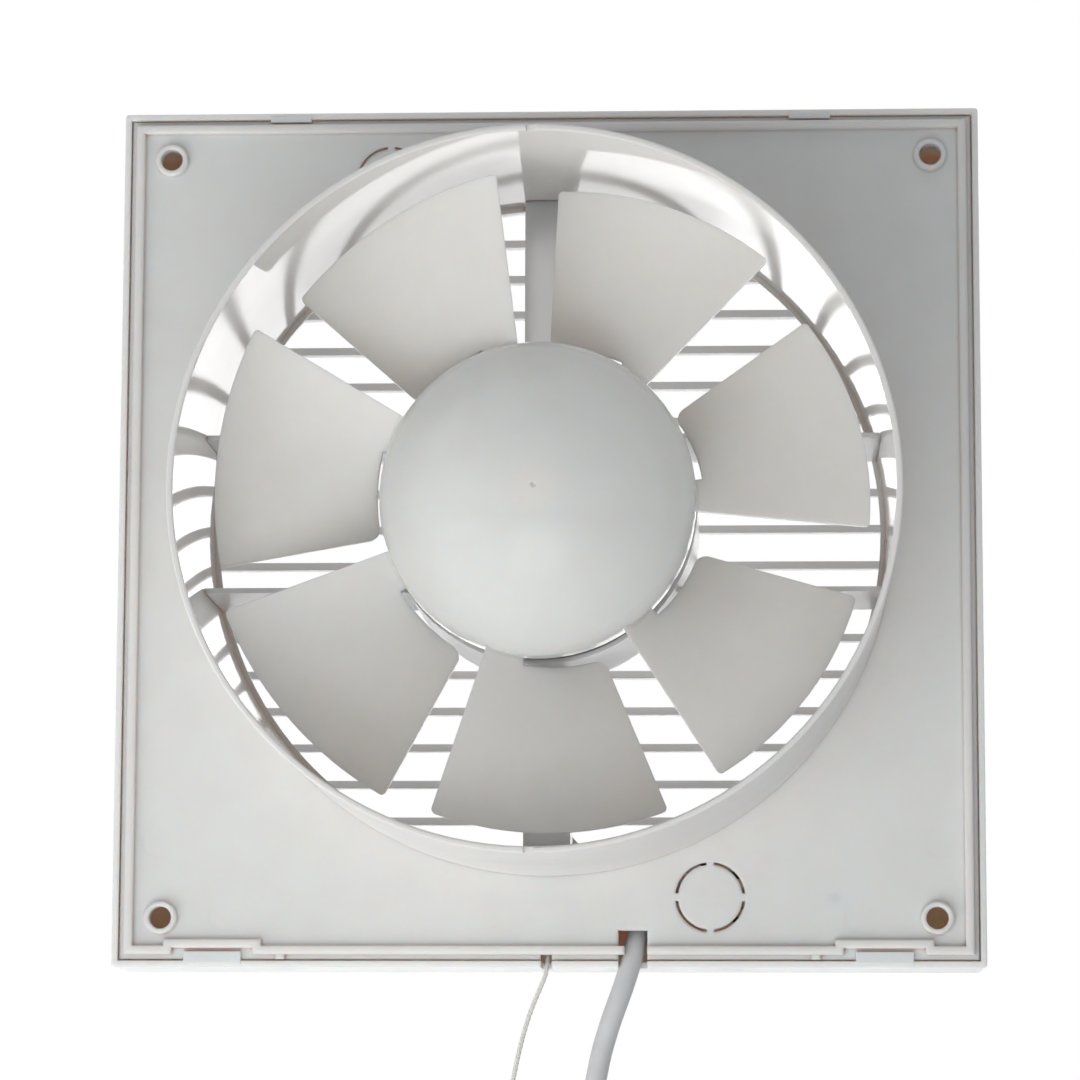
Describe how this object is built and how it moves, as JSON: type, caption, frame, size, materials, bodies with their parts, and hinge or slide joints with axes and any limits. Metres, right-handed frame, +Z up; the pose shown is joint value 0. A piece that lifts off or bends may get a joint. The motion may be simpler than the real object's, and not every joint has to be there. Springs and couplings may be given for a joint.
{
  "type": "wall exhaust fan",
  "caption": "Square wall exhaust fan with round duct spigot, bladed impeller on a held motor, louvred cover, pull switch and plug lead",
  "frame": {"origin": "on the fan axis in the wall plane, at the centre of the four wall screw holes", "axes": "+Y along the fan axis into the wall and the duct, -Y into the room, +Z up"},
  "size_m": [0.25, 0.126, 0.437],
  "materials": {
    "white_plastic": "smooth white ABS, slightly glossy",
    "steel": "zinc plated steel",
    "laminations": "stacked steel sheet",
    "zinc": "die cast alloy",
    "bronze": "sintered bronze",
    "copper": "enamelled copper wire",
    "inner_plastic": "moulded white plastic",
    "live_insulation": "brown PVC insulation",
    "neutral_insulation": "white PVC insulation",
    "core_insulation": "PVC insulation, one brown core and one white",
    "grey_sheath": "pale grey PVC sheath",
    "nickel": "nickel plated brass",
    "tie": "white plastic coated wire tie",
    "cord": "white braided nylon",
    "knob": "pale grey moulded plastic"
  },
  "bodies": {
    "housing": {"wall_plate": "white_plastic", "duct_spigot": "white_plastic", "motor_holder": "white_plastic", "front_cover": "white_plastic", "holder_screws": "steel", "motor_screws": "steel", "terminal_screws": "steel", "block_screw": "steel", "clamp_screws": "steel", "switch_screws": "steel", "switch_spring": "steel", "stator_core": "laminations", "motor_front_shield": "zinc", "motor_rear_shield": "zinc", "front_bush": "bronze", "rear_bush": "bronze", "stator_windings": "copper", "terminal_block": "inner_plastic", "cable_clamp": "inner_plastic", "switch_body": "inner_plastic", "switch_lid": "inner_plastic", "motor_live_wire": "live_insulation", "switch_wire": "live_insulation", "motor_neutral_wire": "neutral_insulation", "mains_cores": "core_insulation", "mains_lead": "grey_sheath", "lead_coil": "grey_sheath", "lead_tail": "grey_sheath", "plug_body": "grey_sheath", "plug_pins": "nickel", "coil_tie": "tie"},
    "impeller": {"impeller": "white_plastic", "motor_shaft": "steel", "motor_rotor": "laminations", "impeller_clip": "steel", "thrust_washers": "steel"},
    "pull": {"switch_plunger": "inner_plastic", "pull_cord": "cord", "cord_knob": "knob"}
  },
  "joints": [
    {"name": "impeller_spin", "type": "hinge", "parent": "housing", "child": "impeller", "pos_m": [0, 0, 0], "axis": [0, 1, 0], "continuous": true},
    {"name": "cord_pull", "type": "slide", "parent": "housing", "child": "pull", "axis": [0, 0, -1], "range_m": [0, 0.005], "stiffness_N_per_m": 400, "springref_m": -0.003, "deforming": ["switch_spring"]}
  ]
}
